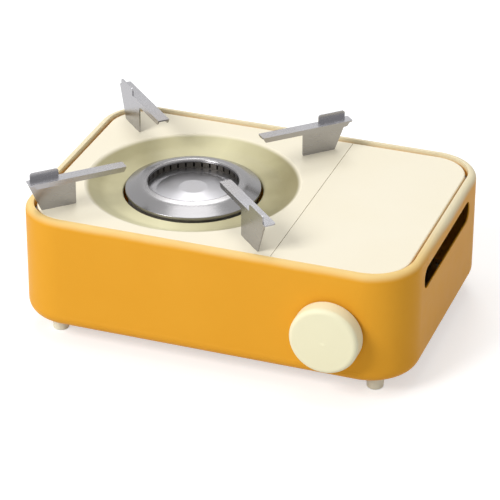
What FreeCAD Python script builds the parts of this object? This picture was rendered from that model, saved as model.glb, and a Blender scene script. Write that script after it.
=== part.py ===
import FreeCAD, Part
import math
import os
import Sketcher
from FreeCAD import Placement, Rotation, Vector

# Tabletop gas stove with a round burner on the left, a cartridge bay on the right
# and one round knob on the front. Millimetres, +Z up, +X right, front towards -Y.
# The origin lies on the table, under the middle of the stove and its knob.

doc = FreeCAD.newDocument("cassette_stove")

# Driving dimensions
driving = {
    "body_width": 300, "body_depth": 210, "body_height": 87, "foot_height": 13,
    "corner_radius": 37, "bottom_round": 9.5, "rim_round": 5, "wall": 1.0,
    "rim_inset": 6.1, "rim_lip": 8, "rim_gap": 2.4,
    "slot_length": 118, "slot_height": 17, "slot_shift": -3, "slot_drop": 19.5,
    "opening_width": 216, "opening_depth": 136, "opening_radius": 20,
    "base_width": 270, "base_depth": 184, "base_radius": 30, "base_sheet": 0.8,
    "vent_length": 30, "vent_width": 6, "vent_pitch": 12, "vent_count": 3,
    "foot_shift_across": 122, "foot_shift_deep": 82, "foot_radius": 6.8,
    "plate_drop": 1.7, "plate_sheet": 0.8, "plate_skirt": 7, "plate_round": 1.2,
    "seam_across": 46.25, "seam_gap": 0.45, "hinge_back": 12, "hinge_drop": 2.5,
    "hinge_pin_radius": 1.0, "running_gap": 0.05, "side_gap": 0.3,
    "ledge_sheet": 1.0, "ledge_width": 16, "bay_ledge": 11, "ear_sheet": 1.2, "ear_length": 10, "ear_round": 1.4,
    "bowl_across": -45.7, "bowl_deep": -5.2, "bowl_radius": 80.7, "bowl_floor_radius": 67,
    "bowl_wall_depth": 6, "bowl_depth": 7.6, "bowl_hole_radius": 52, "bowl_collar": 2,
    "support_start": 92, "support_end": 119, "support_flare": 130, "support_tip": 55,
    "support_height": 25.7, "support_tab": 5.5, "support_width": 9, "support_offset": 4,
    "support_sheet": 1.0, "arm_depth": 4, "tab_start": 105, "tab_end": 127,
    "ring_radius": 50.5, "ring_bore": 33.7, "ring_drop": 0.4, "ring_slope": 6.0, "ring_sheet": 1.0,
    "burner_radius": 48.5, "burner_bore": 35, "burner_wall": 1.5, "burner_floor": 63,
    "burner_wall_top": 93.2, "port_floor": 90, "port_count": 36, "port_width": 1.4,
    "dish_rise": 3.6, "tube_radius": 8, "throat_radius": 5.5, "tube_length": 55,
    "tube_height": 72.5, "shield_sheet": 0.8, "shield_flange": 7, "shield_half_length": 84,
    "knob_across": 94, "knob_drop": 48.5, "knob_radius": 25.5, "knob_reach": 16,
    "knob_gap": 2, "knob_skin": 2.2, "hub_radius": 6.5, "shaft_radius": 3,
    "bushing_radius": 7, "cam_radius": 9, "cam_lift": 5, "cam_turn": 100, "cam_width": 4,
    "regulator_radius": 17, "regulator_back": 19, "regulator_front": 9,
    "magnet_radius": 16, "magnet_bore": 9, "magnet_length": 4, "pipe_radius": 2.5,
    "igniter_radius": 3.8, "igniter_length": 26, "plunger_radius": 2.2,
    "can_radius": 34, "cradle_gap": 0.6, "cradle_sheet": 0.8, "cradle_length": 150,
    "lead_radius": 1.1, "screw_radius": 1.5,
}

sheet = doc.addObject("Spreadsheet::Sheet", "dims")
for row, (alias, value) in enumerate(driving.items(), 1):
    sheet.set("A%d" % row, alias)
    sheet.set("B%d" % row, str(value))
    sheet.setAlias("B%d" % row, alias)
doc.recompute()


class Size:
    # A length together with the sheet formula it is worked out from
    def __init__(self, value, formula):
        self.value = float(value)
        self.formula = formula

    def join(self, other, sign, value):
        return Size(value, "(%s %s %s)" % (self.formula, sign, other.formula))

    def __add__(self, other):
        other = as_size(other)
        return self.join(other, "+", self.value + other.value)

    def __sub__(self, other):
        other = as_size(other)
        return self.join(other, "-", self.value - other.value)

    def __mul__(self, other):
        other = as_size(other)
        return self.join(other, "*", self.value * other.value)

    def __truediv__(self, other):
        other = as_size(other)
        return self.join(other, "/", self.value / other.value)

    def __radd__(self, other):
        return as_size(other) + self

    def __rsub__(self, other):
        return as_size(other) - self

    def __rmul__(self, other):
        return as_size(other) * self

    def __neg__(self):
        return Size(0, "0") - self


def as_size(number):
    if isinstance(number, Size):
        return number
    return Size(number, "%.9g" % number)


def dim(alias):
    return Size(sheet.get(alias), "dims." + alias)


def bind(thing, path, size):
    size = as_size(size)
    if "dims." in size.formula:
        thing.setExpression(path, size.formula)


# Sizes that several pieces share
half_width = dim("body_width") / 2
half_depth = dim("body_depth") / 2
wall = dim("wall")
foot_height = dim("foot_height")
rim_top = foot_height + dim("body_height")
floor_top = foot_height + wall
base_top = floor_top + dim("base_sheet")
plate_top = rim_top - dim("plate_drop")
plate_sheet = dim("plate_sheet")
plate_inset = dim("rim_inset") + dim("rim_gap")
ledge_top = plate_top - dim("plate_skirt")
cover_left = dim("seam_across") + dim("seam_gap")
hinge_across = cover_left + dim("hinge_back")
hinge_height = plate_top - dim("hinge_drop")
bowl_across = dim("bowl_across")
bowl_deep = dim("bowl_deep")
ring_top = rim_top - dim("ring_drop")
knob_across = dim("knob_across")
knob_height = rim_top - dim("knob_drop")
centre_shift = dim("knob_reach") / 2

sub_parts = []


# Building helpers

def keep(piece, label):
    piece.Label = label
    sub_parts.append(piece)
    return piece


def place(piece, across=0, deep=0, high=0, rotation=None):
    # Pieces are drawn about the middle of the casing, and the origin is the middle
    # of casing and knob together
    spot = [as_size(across), as_size(deep) + centre_shift, as_size(high)]
    turn = rotation or Rotation()
    piece.Placement = Placement(Vector(spot[0].value, spot[1].value, spot[2].value), turn)
    for letter, size in zip("xyz", spot):
        bind(piece, "Placement.Base." + letter, size)
    return piece


def new_body(label):
    body = doc.addObject("PartDesign::Body", label)
    return keep(body, label)


def new_sketch(body, role, offset=0, across=0, up=0):
    sketch = body.newObject("Sketcher::SketchObject", "Sketch")
    plane = [item for item in body.Origin.OriginFeatures if item.Role == role][0]
    sketch.AttachmentSupport = [(plane, "")]
    sketch.MapMode = "FlatFace"
    shift = [as_size(across), as_size(up), as_size(offset)]
    sketch.AttachmentOffset = Placement(Vector(*[size.value for size in shift]), Rotation())
    for letter, size in zip("xyz", shift):
        bind(sketch, "AttachmentOffset.Base." + letter, size)
    return sketch


def fix_point(sketch, rules, formulas, geometry, position, across, up):
    for kind, axis, size in (("DistanceX", -2, across), ("DistanceY", -1, up)):
        if size.value == 0 and "dims." not in size.formula:
            rules.append(Sketcher.Constraint("PointOnObject", geometry, position, axis))
        else:
            formulas.append((len(rules), size))
            rules.append(Sketcher.Constraint(kind, -1, 1, geometry, position, size.value))


def apply_rules(sketch, rules, formulas):
    first = sketch.ConstraintCount
    sketch.addConstraint(rules)
    for index, size in formulas:
        bind(sketch, "Constraints[%d]" % (first + index), size)


def add_profile(sketch, corners):
    # A closed outline of straight runs. A corner is (across, up), or has a radius
    # as its third value, and then an arc tangent to both runs rounds it.
    corners = [tuple(as_size(number) for number in corner) for corner in corners]
    count = len(corners)
    spots = [Vector(corner[0].value, corner[1].value, 0) for corner in corners]
    joins = []
    for index, corner in enumerate(corners):
        spot = spots[index]
        back = (spots[index - 1] - spot).normalize()
        ahead = (spots[(index + 1) % count] - spot).normalize()
        if len(corner) < 3:
            joins.append((spot, spot, None))
            continue
        half_angle = back.getAngle(ahead) / 2
        reach = corner[2].value / math.tan(half_angle)
        middle = spot + (back + ahead).normalize() * (corner[2].value / math.sin(half_angle))
        joins.append((spot + back * reach, spot + ahead * reach, middle))
    first = sketch.GeometryCount
    for index in range(count):
        start = joins[index][1]
        end = joins[(index + 1) % count][0]
        sketch.addGeometry(Part.LineSegment(start, end), False)
    rules = []
    formulas = []
    for index, corner in enumerate(corners):
        line_in = first + (index - 1) % count
        line_out = first + index
        start, end, middle = joins[index]
        if middle is None:
            rules.append(Sketcher.Constraint("Coincident", line_in, 2, line_out, 1))
            fix_point(sketch, rules, formulas, line_out, 1, corner[0], corner[1])
            continue
        left_turn = (spots[index] - start).cross(end - spots[index]).z > 0
        arc_from, arc_to = (start, end) if left_turn else (end, start)
        angles = [math.atan2(point.y - middle.y, point.x - middle.x) for point in (arc_from, arc_to)]
        if angles[1] < angles[0]:
            angles[1] += 2 * math.pi
        circle = Part.Circle(middle, Vector(0, 0, 1), corner[2].value)
        arc = sketch.addGeometry(Part.ArcOfCircle(circle, angles[0], angles[1]), False)
        vertex = sketch.addGeometry(Part.Point(spots[index]), True)
        side_in, side_out = (1, 2) if left_turn else (2, 1)
        rules.append(Sketcher.Constraint("Tangent", line_in, 2, arc, side_in))
        rules.append(Sketcher.Constraint("Tangent", arc, side_out, line_out, 1))
        formulas.append((len(rules), corner[2]))
        rules.append(Sketcher.Constraint("Radius", arc, corner[2].value))
        rules.append(Sketcher.Constraint("PointOnObject", vertex, 1, line_in))
        rules.append(Sketcher.Constraint("PointOnObject", vertex, 1, line_out))
        fix_point(sketch, rules, formulas, vertex, 1, corner[0], corner[1])
    apply_rules(sketch, rules, formulas)


def add_circle(sketch, across, up, radius):
    across, up, radius = as_size(across), as_size(up), as_size(radius)
    spot = Vector(across.value, up.value, 0)
    circle = sketch.addGeometry(Part.Circle(spot, Vector(0, 0, 1), radius.value), False)
    rules = []
    formulas = []
    fix_point(sketch, rules, formulas, circle, 3, across, up)
    formulas.append((len(rules), radius))
    rules.append(Sketcher.Constraint("Radius", circle, radius.value))
    apply_rules(sketch, rules, formulas)


def rectangle(left, low, right, high, radius=None):
    spots = [(left, low), (right, low), (right, high), (left, high)]
    if radius is None:
        return spots
    return [spot + (radius,) for spot in spots]


def settle(body, feature):
    doc.recompute()
    if feature.Shape.isNull() or not feature.isValid():
        raise RuntimeError("%s: %s failed" % (body.Label, feature.Name))
    return feature


def pad(body, sketch, length, both_ways=False):
    feature = body.newObject("PartDesign::Pad", "Pad")
    feature.Profile = sketch
    feature.Length = as_size(length).value
    bind(feature, "Length", length)
    feature.Midplane = both_ways
    return settle(body, feature)


def pocket(body, sketch, length, forward=False, both_ways=False):
    # Cuts against the sketch's normal, or along it where forward is set
    before = body.Tip.Shape.Volume
    feature = body.newObject("PartDesign::Pocket", "Pocket")
    feature.Profile = sketch
    feature.Length = as_size(length).value
    bind(feature, "Length", length)
    feature.Reversed = forward
    feature.Midplane = both_ways
    settle(body, feature)
    if feature.Shape.Volume > before - 0.01:
        raise RuntimeError("%s: %s cuts nothing" % (body.Label, feature.Name))
    return feature


def revolve(body, sketch):
    feature = body.newObject("PartDesign::Revolution", "Revolution")
    feature.Profile = sketch
    feature.ReferenceAxis = (sketch, ["V_Axis"])
    feature.Angle = 360
    return settle(body, feature)


def polar(body, feature, sketch, count):
    before = body.Tip.Shape.Volume
    pattern = body.newObject("PartDesign::PolarPattern", "PolarPattern")
    pattern.Originals = [feature]
    pattern.Axis = (sketch, ["N_Axis"])
    pattern.Angle = 360
    pattern.Occurrences = int(count.value)
    bind(pattern, "Occurrences", count)
    body.Tip = pattern
    settle(body, pattern)
    if abs(pattern.Shape.Volume - before) < 0.01:
        raise RuntimeError("%s: the pattern changes nothing" % body.Label)
    return pattern


def row_of(body, feature, sketch, backwards, pitch, count):
    before = body.Tip.Shape.Volume
    pattern = body.newObject("PartDesign::LinearPattern", "LinearPattern")
    pattern.Originals = [feature]
    pattern.Direction = (sketch, ["V_Axis"])
    pattern.Reversed = backwards
    pattern.Length = (pitch * (count - 1)).value
    bind(pattern, "Length", pitch * (count - 1))
    pattern.Occurrences = int(count.value)
    bind(pattern, "Occurrences", count)
    body.Tip = pattern
    settle(body, pattern)
    if abs(pattern.Shape.Volume - before) < 0.01:
        raise RuntimeError("%s: the row changes nothing" % body.Label)
    return pattern


def fillet(body, radius, chosen):
    tip = body.Tip
    names = ["Edge%d" % n for n, edge in enumerate(tip.Shape.Edges, 1) if chosen(edge)]
    feature = body.newObject("PartDesign::Fillet", "Fillet")
    feature.Base = (tip, names)
    feature.Radius = as_size(radius).value
    bind(feature, "Radius", radius)
    return settle(body, feature)


def level(height):
    # Chooses edges and faces that lie flat at one height
    return lambda item: (abs(item.BoundBox.ZMin - as_size(height).value) < 0.001
                         and abs(item.BoundBox.ZMax - as_size(height).value) < 0.001)


def scripted(label, shape):
    piece = doc.addObject("Part::Feature", label)
    piece.Shape = shape
    return keep(piece, label)


def cylinder(radius, length, across=0, deep=0, high=0, turn=None):
    piece = doc.addObject("Part::Cylinder", "Cylinder")
    piece.Radius = as_size(radius).value
    piece.Height = as_size(length).value
    bind(piece, "Radius", radius)
    bind(piece, "Height", length)
    return move(piece, across, deep, high, turn)


def block(long, deep_size, tall, across=0, deep=0, high=0):
    piece = doc.addObject("Part::Box", "Box")
    for name, size in (("Length", long), ("Width", deep_size), ("Height", tall)):
        setattr(piece, name, as_size(size).value)
        bind(piece, name, size)
    return move(piece, across, deep, high)


def move(piece, across, deep, high, turn=None):
    spot = [as_size(number) for number in (across, deep, high)]
    piece.Placement = Placement(Vector(*[size.value for size in spot]), turn or Rotation())
    for letter, size in zip("xyz", spot):
        bind(piece, "Placement.Base." + letter, size)
    return piece


def fuse(*pieces):
    whole = doc.addObject("Part::MultiFuse", "Fusion")
    whole.Shapes = list(pieces)
    whole.Refine = True
    return whole


def cut(base, tool):
    whole = doc.addObject("Part::Cut", "Cut")
    whole.Base = base
    whole.Tool = tool
    return whole


def bent_tube(radius, points, bend=None):
    # A round tube along straight runs that tangent arcs join; with no bend radius
    # given, each arc is as large as its two runs leave room for
    edges = []
    last = points[0]
    for index in range(1, len(points) - 1):
        corner = points[index]
        back = points[index - 1] - corner
        ahead = points[index + 1] - corner
        room = 0.46 * min(back.Length, ahead.Length)
        back.normalize()
        ahead.normalize()
        half_angle = back.getAngle(ahead) / 2
        reach = bend / math.tan(half_angle) if bend else room
        start = corner + back * reach
        end = corner + ahead * reach
        bisector = (back + ahead).normalize()
        arc_radius = reach * math.tan(half_angle)
        middle = corner + bisector * (arc_radius / math.sin(half_angle) - arc_radius)
        edges.append(Part.LineSegment(last, start).toShape())
        edges.append(Part.Arc(start, middle, end).toShape())
        last = end
    edges.append(Part.LineSegment(last, points[-1]).toShape())
    path = Part.Wire(edges)
    section = Part.Wire([Part.Circle(points[0], points[1] - points[0], radius).toShape()])
    tube = path.makePipeShell([section], True, False)
    ideal = math.pi * radius ** 2 * path.Length
    print("tube of radius %.1f: length %.1f, volume %.4f of its section times length"
          % (radius, path.Length, tube.Volume / ideal))
    return tube


def turned(points):
    # A solid of revolution about Z from (radius, height) points
    spots = [Vector(radius, 0, height) for radius, height in points]
    face = Part.Face(Part.makePolygon(spots + spots[:1]))
    return face.revolve(Vector(0, 0, 0), Vector(0, 0, 1), 360)


# From here on every function makes one piece

facing_front = Rotation(Vector(1, 0, 0), 90)


def casing_outline(inset):
    return rectangle(inset - half_width, inset - half_depth, half_width - inset, half_depth - inset,
                     dim("corner_radius") - inset)


def make_body_shell():
    body = new_body("body_shell")
    outline = new_sketch(body, "XY_Plane", foot_height)
    add_profile(outline, casing_outline(as_size(0)))
    pad(body, outline, dim("body_height"))
    mouth = new_sketch(body, "XY_Plane", rim_top)
    add_profile(mouth, casing_outline(dim("rim_inset")))
    pocket(body, mouth, dim("rim_lip"))
    lip_end = rim_top - dim("rim_lip")
    room = new_sketch(body, "XY_Plane", lip_end)
    add_profile(room, casing_outline(wall))
    pocket(body, room, lip_end - floor_top)
    fold = new_sketch(body, "XY_Plane", lip_end)
    add_profile(fold, casing_outline(wall))
    add_profile(fold, casing_outline(dim("rim_round") + 0.1))
    pocket(body, fold, dim("rim_lip") - wall, forward=True)

    def outermost(height):
        def chosen(edge):
            middle = edge.valueAt((edge.FirstParameter + edge.LastParameter) / 2)
            past_front = abs(middle.y) > half_depth.value - 3
            past_side = abs(middle.x) > half_width.value - 3
            round_corner = getattr(edge.Curve, "Radius", 0) > value("corner_radius") - 3
            return level(height)(edge) and (past_front or past_side or round_corner)
        return chosen

    fillet(body, dim("bottom_round") - wall, level(floor_top))
    fillet(body, dim("rim_round") - wall, outermost(rim_top - wall))
    fillet(body, dim("bottom_round"), level(foot_height))
    fillet(body, dim("rim_round"), outermost(rim_top))
    opening = new_sketch(body, "XY_Plane", foot_height)
    half_open = (dim("opening_width") / 2, dim("opening_depth") / 2)
    add_profile(opening, rectangle(-half_open[0], -half_open[1], half_open[0], half_open[1],
                                   dim("opening_radius")))
    for across, deep in foot_spots() + base_screw_spots():
        add_circle(opening, across, deep, dim("screw_radius") + 0.2)
    pocket(body, opening, wall * 2, forward=True)
    slot = new_sketch(body, "YZ_Plane", half_width)
    slot_middle = rim_top - dim("slot_drop")
    slot_end = dim("slot_length") / 2
    slot_side = dim("slot_height") / 2
    add_profile(slot, rectangle(dim("slot_shift") - slot_end, slot_middle - slot_side,
                                dim("slot_shift") + slot_end, slot_middle + slot_side,
                                slot_side * 0.9))
    pocket(body, slot, dim("body_width"))
    knob_hole = new_sketch(body, "XZ_Plane", half_depth)
    add_circle(knob_hole, knob_across, knob_height, dim("bushing_radius"))
    pocket(body, knob_hole, wall * 4)
    place(body)


def foot_spots():
    across, deep = dim("foot_shift_across"), dim("foot_shift_deep")
    return [(-across, -deep), (across, -deep), (across, deep), (-across, deep)]


def base_screw_spots():
    deep = dim("base_depth") / 2 - 12
    return [(as_size(side * 30), end) for side in (-1, 1) for end in (-deep, deep)]


def make_base_plate():
    body = new_body("base_plate")
    outline = new_sketch(body, "XY_Plane", floor_top)
    half_long, half_deep = dim("base_width") / 2, dim("base_depth") / 2
    add_profile(outline, rectangle(-half_long, -half_deep, half_long, half_deep,
                                   dim("base_radius")))
    for across, deep in foot_spots():
        add_circle(outline, across, deep, dim("screw_radius") + 0.2)
    for across, deep in base_screw_spots():
        add_circle(outline, across, deep, dim("screw_radius"))
    for side in (-1, 1):
        add_circle(outline, bowl_across + side * stand_screw_shift, bowl_deep, dim("screw_radius"))
    pad(body, outline, dim("base_sheet"))
    # Air slots on both sides of the burner stand
    half_vent = (dim("vent_length") / 2, dim("vent_width") / 2)
    for side in (-1, 1):
        for end in (-1, 1):
            across = bowl_across + side * 45
            deep = bowl_deep + end * 25
            vent = new_sketch(body, "XY_Plane", base_top)
            add_profile(vent, rectangle(across - half_vent[0], deep - half_vent[1],
                                        across + half_vent[0], deep + half_vent[1],
                                        half_vent[1] * 0.9))
            slot = pocket(body, vent, dim("base_sheet") * 3, both_ways=True)
            row_of(body, slot, vent, end < 0, dim("vent_pitch"), dim("vent_count"))
    place(body)


def make_feet():
    names = ("foot_front_left", "foot_front_right", "foot_back_right", "foot_back_left")
    radius = dim("foot_radius")
    for name, (across, deep) in zip(names, foot_spots()):
        body = new_body(name)
        section = new_sketch(body, "XZ_Plane")
        hole = dim("screw_radius") + 0.2
        recess = radius * 0.5
        add_profile(section, [(recess, 0), (radius - 0.8, 0, 1.2), (radius, foot_height),
                              (hole, foot_height), (hole, foot_height * 0.6),
                              (recess, foot_height * 0.6)])
        revolve(body, section)
        place(body, across, deep)


def fastener(head_radius, head_height, shank_radius, shank_length):
    # Head on the bottom, shank up from it
    head = turned([(0, 0), (head_radius * 0.8, 0), (head_radius, head_height * 0.4),
                   (head_radius, head_height), (0, head_height)])
    shank = Part.makeCylinder(shank_radius, shank_length, Vector(0, 0, head_height))
    return head.fuse(shank).removeSplitter()


def group(label, shape, spots):
    # Identical fasteners: copies of one shape at Placements
    copies = []
    for spot in spots:
        copy = shape.copy()
        copy.Placement = spot
        copies.append(copy)
    return place(scripted(label, Part.makeCompound(copies)))


def value(alias):
    return dim(alias).value


def make_base_fasteners():
    screw = fastener(2.8, 1.8, value("screw_radius"), 4.5)
    seat = foot_height.value * 0.6 - 1.8
    group("foot_screws", fastener(2.8, 1.8, value("screw_radius"), 9),
          [Placement(Vector(a.value, d.value, seat), Rotation()) for a, d in foot_spots()])
    nut = Part.Face(Part.makePolygon([Vector(3.2 * math.cos(math.radians(60 * k)),
                                             3.2 * math.sin(math.radians(60 * k)), 0)
                                      for k in range(7)])).extrude(Vector(0, 0, 2.2))
    nut = nut.cut(Part.makeCylinder(value("screw_radius"), 5, Vector(0, 0, -1)))
    group("foot_nuts", nut,
          [Placement(Vector(a.value, d.value, base_top.value), Rotation()) for a, d in foot_spots()])
    group("base_screws", screw,
          [Placement(Vector(a.value, d.value, foot_height.value - 1.8), Rotation())
           for a, d in base_screw_spots()])


def make_ledge_frame():
    body = new_body("ledge_frame")
    outline = new_sketch(body, "XY_Plane", ledge_top - dim("ledge_sheet"))
    inset = wall
    add_profile(outline, rectangle(inset - half_width, inset - half_depth, half_width - inset,
                                   half_depth - inset, dim("corner_radius") + 3))
    inset = dim("ledge_width")
    add_profile(outline, rectangle(inset - half_width, inset - half_depth, half_width - inset,
                                   half_depth - inset, dim("corner_radius") - inset))
    pad(body, outline, dim("ledge_sheet"))
    notches = new_sketch(body, "XY_Plane", ledge_top)
    notch_outside = half_depth - plate_inset + dim("side_gap") * 3
    for side in (-1, 1):
        near = side * (half_depth - dim("ledge_width") - 2)
        far = side * notch_outside
        low, high = (far, near) if side < 0 else (near, far)
        add_profile(notches, rectangle(cover_left - 2, low, hinge_across + 4, high))
    pocket(body, notches, dim("ledge_sheet") * 2)
    # The ledge is narrow along the bay, so that the cartridge passes
    bay = new_sketch(body, "XY_Plane", ledge_top)
    bay_right = half_width - dim("ledge_width")
    bay_deep = half_depth - dim("bay_ledge")
    add_profile(bay, rectangle(hinge_across, -bay_deep, bay_right, bay_deep, 8))
    pocket(body, bay, dim("ledge_sheet") * 2)
    ear_round = dim("ear_round")
    ear_outside = half_depth - plate_inset - plate_sheet - dim("side_gap")
    for side in (-1, 1):
        nearest = ear_outside if side < 0 else dim("ear_sheet") - ear_outside
        ear = new_sketch(body, "XZ_Plane", nearest)
        add_profile(ear, [(hinge_across, ledge_top - dim("ledge_sheet")),
                          (hinge_across + dim("ear_length"), ledge_top - dim("ledge_sheet")),
                          (hinge_across + dim("ear_length"), hinge_height + ear_round, 1),
                          (hinge_across - ear_round, hinge_height + ear_round, ear_round),
                          (hinge_across - ear_round, hinge_height - ear_round, 1.2)])
        lug = pad(body, ear, dim("ear_sheet"))
        lug.Reversed = True
        settle(body, lug)
    pin_holes = new_sketch(body, "XZ_Plane")
    add_circle(pin_holes, hinge_across, hinge_height, dim("hinge_pin_radius"))
    pocket(body, pin_holes, dim("body_depth"), both_ways=True)
    place(body)


def make_cover_hinge_pins():
    radius = value("hinge_pin_radius")
    skirt_outside = (half_depth - plate_inset).value
    ear_inside = skirt_outside - plate_sheet.value - value("side_gap") - value("ear_sheet")
    length = skirt_outside + 0.4 - ear_inside
    pin = fastener(radius * 1.5, 0.8, radius, length)
    spots = []
    for side in (-1, 1):
        turn = Rotation(Vector(1, 0, 0), -90 * side)
        spots.append(Placement(Vector(hinge_across.value, side * (ear_inside - 0.8),
                                      hinge_height.value), turn))
    group("cover_hinge_pins", pin, spots)


def tray(body, left, right, corner, open_right):
    # A pressed sheet with its skirt turned down on three sides. The fourth, at the
    # seam, stays open.
    front = plate_inset - half_depth
    back = half_depth - plate_inset

    def corners(inset, past_seam):
        if open_right:
            return [(left + inset, front + inset, corner - inset), (right + past_seam, front + inset),
                    (right + past_seam, back - inset), (left + inset, back - inset, corner - inset)]
        return [(left - past_seam, front + inset), (right - inset, front + inset, corner - inset),
                (right - inset, back - inset, corner - inset), (left - past_seam, back - inset)]

    def skirt_edge(edge):
        box = edge.BoundBox
        at_seam = box.XMin > right.value - 0.01 if open_right else box.XMax < left.value + 0.01
        return level(plate_top)(edge) and not at_seam

    outline = new_sketch(body, "XY_Plane", ledge_top)
    add_profile(outline, corners(as_size(0), as_size(0)))
    pad(body, outline, dim("plate_skirt"))
    fillet(body, dim("plate_round"), skirt_edge)
    inside = new_sketch(body, "XY_Plane", ledge_top)
    add_profile(inside, corners(plate_sheet, as_size(1)))
    pocket(body, inside, dim("plate_skirt") - plate_sheet, forward=True)


def make_top_plate():
    body = new_body("top_plate")
    corner = dim("corner_radius") - plate_inset
    tray(body, plate_inset - half_width, dim("seam_across"), corner, True)
    slots = new_sketch(body, "XY_Plane", plate_top)
    for angle, side in support_angles.values():
        for start, end in support_tabs():
            low, high = wall_sides(side)
            spots = rectangle(start - 0.1, low - 0.1, end + 0.1, high + 0.1)
            add_profile(slots, [on_radius(angle, reach, aside) for reach, aside in spots])
    pocket(body, slots, plate_sheet * 2)
    hole = new_sketch(body, "XY_Plane", plate_top)
    add_circle(hole, bowl_across, bowl_deep, dim("bowl_radius") + 1)
    pocket(body, hole, plate_sheet * 2)
    bowl = new_sketch(body, "XZ_Plane", -bowl_deep, bowl_across)
    rim = dim("bowl_radius")
    floor = dim("bowl_floor_radius")
    throat = dim("bowl_hole_radius")
    foot = plate_top - dim("bowl_wall_depth")
    lowest = plate_top - dim("bowl_depth")
    add_profile(bowl, [
        (rim + 1, plate_top), (rim, plate_top, 1.6), (floor, foot, 16), (throat, lowest, 1.2),
        (throat, lowest - dim("bowl_collar")), (throat + plate_sheet, lowest - dim("bowl_collar")),
        (throat + plate_sheet, lowest - plate_sheet * 0.86, 0.4),
        (floor + plate_sheet * 0.29, foot - plate_sheet * 0.97, 16.8),
        (rim + plate_sheet * 0.46, plate_top - plate_sheet, 0.8), (rim + 1, plate_top - plate_sheet)])
    revolve(body, bowl)
    place(body)


def on_radius(angle, reach, aside):
    # A spot at this reach from the bowl's middle and this far to the left of the radius
    across = math.cos(math.radians(angle))
    deep = math.sin(math.radians(angle))
    return (bowl_across + reach * across - aside * deep, bowl_deep + reach * deep + aside * across)


def make_cartridge_cover():
    body = new_body("cartridge_cover")
    tray(body, cover_left, half_width - plate_inset, dim("corner_radius") - plate_inset, False)
    pin_holes = new_sketch(body, "XZ_Plane")
    add_circle(pin_holes, hinge_across, hinge_height,
               dim("hinge_pin_radius") + dim("running_gap"))
    pocket(body, pin_holes, dim("body_depth"), both_ways=True)
    strip_ends = new_sketch(body, "XY_Plane", ledge_top)
    for side in (-1, 1):
        near = side * (half_depth - plate_inset - plate_sheet - 0.5)
        far = side * (half_depth - plate_inset + 1)
        low, high = (far, near) if side < 0 else (near, far)
        add_profile(strip_ends, rectangle(cover_left - 1, low, hinge_across - 1.8, high))
    pocket(body, strip_ends, dim("plate_skirt") - plate_sheet, forward=True)
    place(body)


support_angles = {
    "pot_support_front_left": (225, -1), "pot_support_back_right": (45, 1),
    "pot_support_back_left": (135, 1), "pot_support_front_right": (315, -1),
}


def support_tabs():
    # Where the two locking tabs start and end along the wall's foot
    start, end = dim("support_start"), dim("support_end")
    return [(start + 4, start + 10), (end - 10, end - 4)]


def wall_sides(side):
    outer = side * dim("support_offset")
    if side > 0:
        return outer - dim("support_sheet"), outer
    return outer, outer + dim("support_sheet")


def make_pot_support(name, angle, side):
    # One folded sheet: a wall with a raised lug, a flange on top of it that runs
    # inwards as the arm, a lip along the flange, and two tabs that go through slots
    # in the plate and are bent over under it
    body = new_body(name)
    height = dim("support_height")
    gauge = dim("support_sheet")
    wall_low, wall_high = wall_sides(side)
    outer = side * dim("support_offset")
    inner = side * (dim("support_offset") - dim("support_width"))
    wall_sketch = new_sketch(body, "XZ_Plane", -wall_high)
    arm_low = height - dim("arm_depth")
    start, end = dim("support_start"), dim("support_end")
    tip = dim("support_tip")
    tab_low = -plate_sheet - gauge
    (first_in, first_out), (second_in, second_out) = support_tabs()
    lug_top = height + dim("support_tab")
    add_profile(wall_sketch, [
        (start, 0, 1), (first_in, 0), (first_in, tab_low), (first_out, tab_low), (first_out, 0),
        (second_in, 0), (second_in, tab_low), (second_out, tab_low), (second_out, 0), (end, 0, 1),
        (dim("support_flare"), height, 0.5), (dim("tab_end"), height), (dim("tab_end"), lug_top, 2),
        (dim("tab_start"), lug_top, 2), (dim("tab_start"), height), (tip, height, 0.5),
        (tip + 2, arm_low, 1.5), (start, arm_low, 3)])
    pad(body, wall_sketch, gauge)
    lip = new_sketch(body, "XZ_Plane", (-inner - gauge) if side > 0 else -inner)
    add_profile(lip, [(tip, height, 0.5), (tip + 2, arm_low, 1.5),
                      (dim("support_flare") - 5, arm_low, 2), (dim("support_flare") - 2, height, 0.5)])
    pad(body, lip, gauge)
    flange = new_sketch(body, "XY_Plane", height - gauge)
    low, high = (inner, outer) if side > 0 else (outer, inner)
    add_profile(flange, rectangle(tip, low, dim("support_flare"), high, 1.5))
    pad(body, flange, gauge)
    bends = new_sketch(body, "XY_Plane", tab_low)
    low, high = (wall_low - 4, wall_high) if side > 0 else (wall_low, wall_high + 4)
    for tab_in, tab_out in support_tabs():
        add_profile(bends, rectangle(tab_in, low, tab_out, high))
    pad(body, bends, gauge)
    place(body, bowl_across, bowl_deep, plate_top, Rotation(Vector(0, 0, 1), angle))


def make_heat_shield():
    body = new_body("heat_shield")
    right = dim("seam_across") - 1
    left = right - dim("shield_sheet")
    flange_left = right - dim("shield_flange")
    section = new_sketch(body, "XZ_Plane")
    low, high = base_top, plate_top - plate_sheet
    gauge = dim("shield_sheet")
    add_profile(section, [(flange_left, low), (right, low, 1.4), (right, high, 1.4), (flange_left, high),
                          (flange_left, high - gauge), (left, high - gauge, 0.6), (left, low + gauge, 0.6),
                          (flange_left, low + gauge)])
    pad(body, section, dim("shield_half_length") * 2, both_ways=True)
    place(body)


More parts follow.
